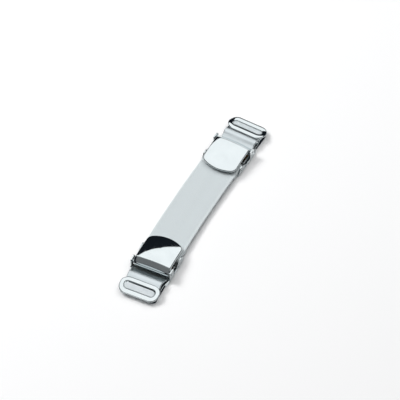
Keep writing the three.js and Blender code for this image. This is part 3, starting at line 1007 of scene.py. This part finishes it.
def spanLine(side, other):
    start = clipPlace[side] @ Vector((0, -strap["leaveAt"], 0))
    end = clipPlace[other] @ Vector((0, -strap["leaveAt"], 0))
    reach = (end - start).length / 3 / mm
    startHandle = clipPlace[side] @ Vector((0, -strap["leaveAt"] - reach, 0))
    endHandle = clipPlace[other] @ Vector((0, -strap["leaveAt"] - reach, 0))
    line = []
    for i in range(1, strap["spanSteps"]):
        t = i / strap["spanSteps"]
        p = (start * (1 - t) ** 3 + startHandle * 3 * t * (1 - t) ** 2 + endHandle * 3 * t * t * (1 - t)
             + end * t ** 3)
        p.z = (strap["rest"] + strap["thickness"] / 2 - strap["sag"] * math.sin(math.pi * t) ** 2) * mm
        line.append(p)
    return line


# The band's middle line from one clip to the other, and the way across the band at each point.
def strapPath():
    first, last = sides
    ends = loopLine()
    path = [clipPlace[first] @ Vector((0, p.x, p.y)) for p in ends]
    startWay = clipPlace[first].to_3x3() @ Vector((1 / mm, 0, 0))
    endWay = clipPlace[last].to_3x3() @ Vector((-1 / mm, 0, 0))
    acrossWays = [startWay for p in ends]
    span = spanLine(first, last)
    for i, p in enumerate(span):
        flat = span[min(i + 1, len(span) - 1)] - path[-1]
        way = Vector((-flat.y, flat.x, 0)).normalized()
        acrossWays.append(way if way.dot(startWay) > 0 else -way)
        path.append(p)
    path += [clipPlace[last] @ Vector((0, p.x, p.y)) for p in reversed(ends)]
    acrossWays += [endWay for p in ends]
    return path, acrossWays


# Round the band from one side over the ribs to the other, and back underneath.
def strapSection():
    s = strap
    halfWidth, half = s["width"] / 2, s["thickness"] / 2
    inner = halfWidth - s["plainEdge"]
    steps = s["ribs"] * s["ribPoints"]
    ribbed = []
    for i in range(steps + 1):
        share = i / steps
        swell = abs(math.sin(math.pi * share * s["ribs"])) ** s["ribShape"]
        ribbed.append((-inner + 2 * inner * share, half - s["ribDepth"] * (1 - swell)))
    rim = [(halfWidth - inset, half * share) for inset, share in s["rim"]]
    top = [(-x, h) for x, h in reversed(rim)] + ribbed + rim
    return top + [(x, -h) for x, h in reversed(top)]


def makeStrap():
    s = strap
    path, acrossWays = strapPath()
    section = strapSection()
    length = [0.0]
    for a, b in zip(path, path[1:]):
        length.append(length[-1] + (b - a).length / mm)
    loops = []
    for i, p in enumerate(path):
        along = (path[min(i + 1, len(path) - 1)] - path[max(i - 1, 0)]).normalized()
        side = acrossWays[i].normalized()
        normal = along.cross(side).normalized()
        if i == 0:
            flip = 1 if normal.z < 0 else -1
        normal *= flip
        loops.append([p + (side * x + normal * h) * mm for x, h in section])
    points, faces = loft(loops)
    mesh = bpy.data.meshes.new("knit_strap")
    mesh.from_pydata([tuple(p) for p in points], [], faces)
    count = len(section)
    uv = mesh.uv_layers.new(name="webbing")
    for polygon in mesh.polygons:
        for k in polygon.loop_indices:
            vertex = mesh.loops[k].vertex_index
            x = section[vertex % count][0]
            uv.data[k].uv = (x / s["width"] + 0.5, length[vertex // count])
    facesOut(mesh)
    mesh.shade_smooth()
    mesh.materials.append(finish["elastic"])
    piece = bpy.data.objects.new("knit_strap", mesh)
    scene.collection.objects.link(piece)
    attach(piece, "root")
    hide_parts("elastic_strap")
    print("strap made, cut length", round(length[-1], 1), "mm")


makeStrap()


# Two rows of stitches through each folded end, seen on top and underneath

stitch = {"rows": (-12.6, -14.2), "halfWidth": 7.4, "count": 9, "length": 1.55, "radius": 0.15,
          "rise": 0.16, "sink": 0.12, "bends": 8, "sides": 10}


# The strap's outer face at a row: the upper layer's top, or the lower layer's underside.
def faceAt(y, upper):
    line = loopLine()
    middle = len(line) // 2
    layer, way = (line[middle:], 1) if upper else (line[:middle], -1)
    nearest = min(layer, key=lambda p: abs(p.x - y))
    return nearest.y + way * strap["thickness"] / 2


def stitchTree():
    tree = bpy.data.node_groups.new("stitchRows", "GeometryNodeTree")
    tree.is_modifier = True
    sockets = {}
    for name, kind in (("Rows", "Geometry"), ("Stitches", "Int"), ("Length", "Float"), ("Rise", "Float"),
                       ("Sink", "Float"), ("Radius", "Float"), ("Thread", "Material")):
        socket = tree.interface.new_socket(name, in_out="INPUT", socket_type=f"NodeSocket{kind}")
        sockets[name] = socket.identifier
    tree.interface.new_socket("Stitched", in_out="OUTPUT", socket_type="NodeSocketGeometry")
    nodes, links = tree.nodes, tree.links
    given = nodes.new("NodeGroupInput").outputs
    out = nodes.new("NodeGroupOutput")

    # a node's settings, and what each of its inputs takes: a value or another node's output
    def add(kind, taken, **settings):
        node = nodes.new(kind)
        for name, value in settings.items():
            setattr(node, name, value)
        for name, value in taken.items():
            if isinstance(value, bpy.types.NodeSocket):
                links.new(value, node.inputs[name])
            else:
                node.inputs[name].default_value = value
        return node.outputs

    def vector(**parts):
        return add("ShaderNodeCombineXYZ", parts)["Vector"]

    def times(value, factor):
        return add("ShaderNodeMath", {0: value, 1: factor}, operation="MULTIPLY")["Value"]

    # one stitch: a thread that rises out of the cloth and goes back in
    below = times(given["Sink"], -1)
    thread = add("GeometryNodeCurveQuadraticBezier", {
        "Resolution": stitch["bends"],
        "Start": vector(X=times(given["Length"], -0.5), Z=below),
        "Middle": vector(Z=times(given["Rise"], 2)),
        "End": vector(X=times(given["Length"], 0.5), Z=below)})
    ring = add("GeometryNodeCurvePrimitiveCircle", {"Resolution": stitch["sides"], "Radius": given["Radius"]})
    solid = add("GeometryNodeCurveToMesh", {
        "Curve": thread["Curve"], "Profile Curve": ring["Curve"], "Fill Caps": True})

    # the rows: evenly spaced places, turned over where the row is underneath
    rows = add("GeometryNodeMeshToCurve", {"Mesh": given["Rows"]})
    places = add("GeometryNodeResampleCurve", {"Curve": rows["Curve"], "Count": given["Stitches"]},
                 mode="COUNT")
    over = add("GeometryNodeInputNamedAttribute", {"Name": "turnedOver"}, data_type="FLOAT")
    turned = add("FunctionNodeEulerToRotation", {"Euler": vector(X=over["Attribute"])})
    copies = add("GeometryNodeInstanceOnPoints", {
        "Points": places["Curve"], "Instance": solid["Mesh"], "Rotation": turned["Rotation"]})
    real = add("GeometryNodeRealizeInstances", {"Geometry": copies["Instances"]})
    finished = add("GeometryNodeSetMaterial", {"Geometry": real["Geometry"], "Material": given["Thread"]})
    links.new(finished["Geometry"], out.inputs["Stitched"])
    return tree, sockets


def makeStitches():
    points, edges, over = [], [], []
    for y in stitch["rows"]:
        for upper in (True, False):
            z = faceAt(y, upper)
            edges.append((len(points), len(points) + 1))
            points += [(-stitch["halfWidth"], y, z), (stitch["halfWidth"], y, z)]
            over += [0.0 if upper else math.pi] * 2
    mesh = bpy.data.meshes.new("stitchRows")
    mesh.from_pydata(points, edges, [])
    mesh.attributes.new("turnedOver", "FLOAT", "POINT").data.foreach_set("value", over)
    made = bpy.data.objects.new("stitchRows", mesh)
    scene.collection.objects.link(made)
    tree, sockets = stitchTree()
    rows = made.modifiers.new("stitches", "NODES")
    rows.node_group = tree
    given = {"Stitches": stitch["count"], "Length": stitch["length"], "Rise": stitch["rise"],
             "Sink": stitch["sink"], "Radius": stitch["radius"], "Thread": finish["thread"]}
    for name, value in given.items():
        rows[sockets[name]] = value
    made = applied(made)
    made.data.shade_smooth()
    print("stitches:", len(made.data.polygons), "faces, open edges", openEdges(made))
    placeOnClips(made, "lock_stitches", "root", None, "thread")


makeStitches()
